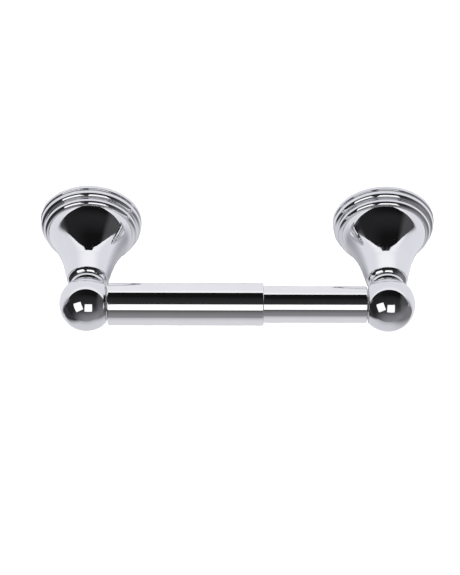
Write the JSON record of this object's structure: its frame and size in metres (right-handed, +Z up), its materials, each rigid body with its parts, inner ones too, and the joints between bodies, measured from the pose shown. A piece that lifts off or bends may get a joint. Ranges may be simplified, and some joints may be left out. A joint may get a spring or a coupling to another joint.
{
  "type": "toilet paper holder",
  "caption": "Wall-mounted toilet paper holder: polished chrome bell posts with ball ends and a spring-loaded telescopic roller between them.",
  "frame": {"origin": "on the wall, midway between the two posts, at the centre of the four wall screw holes", "axes": "+X to the right along the roller, +Y into the wall, +Z up"},
  "size_m": [0.2424, 0.0842, 0.0624],
  "materials": {
    "chrome": "polished",
    "bracket_steel": "zinc plated",
    "steel": "plain",
    "spring_steel": "drawn wire",
    "nylon": "moulded"
  },
  "bodies": {
    "posts": {"left_bell_flange": "chrome", "left_neck_collar": "chrome", "left_ball_end": "chrome", "left_stem_screw": "steel", "left_stem_washer": "steel", "left_wall_bracket": "bracket_steel", "left_set_screw": "steel", "right_bell_flange": "chrome", "right_neck_collar": "chrome", "right_ball_end": "chrome", "right_stem_screw": "steel", "right_stem_washer": "steel", "right_wall_bracket": "bracket_steel", "right_set_screw": "steel"},
    "roller_outer_half": {"roller_outer_tube": "chrome", "roller_left_end_plug": "nylon", "roller_mouth_bush": "nylon", "roller_spring": "spring_steel"},
    "roller_inner_half": {"roller_inner_tube": "chrome", "roller_right_end_plug": "nylon", "roller_slide_ring": "nylon"}
  },
  "joints": [
    {"name": "roller_spin", "type": "hinge", "parent": "posts", "child": "roller_outer_half", "pos_m": [0, -0.068, 0], "axis": [1, 0, 0], "continuous": true},
    {"name": "roller_compress", "type": "slide", "parent": "roller_outer_half", "child": "roller_inner_half", "axis": [-1, 0, 0], "range_m": [0, 0.018], "stiffness_N_per_m": 250, "springref_m": -0.03, "deforming": ["roller_spring"]}
  ]
}
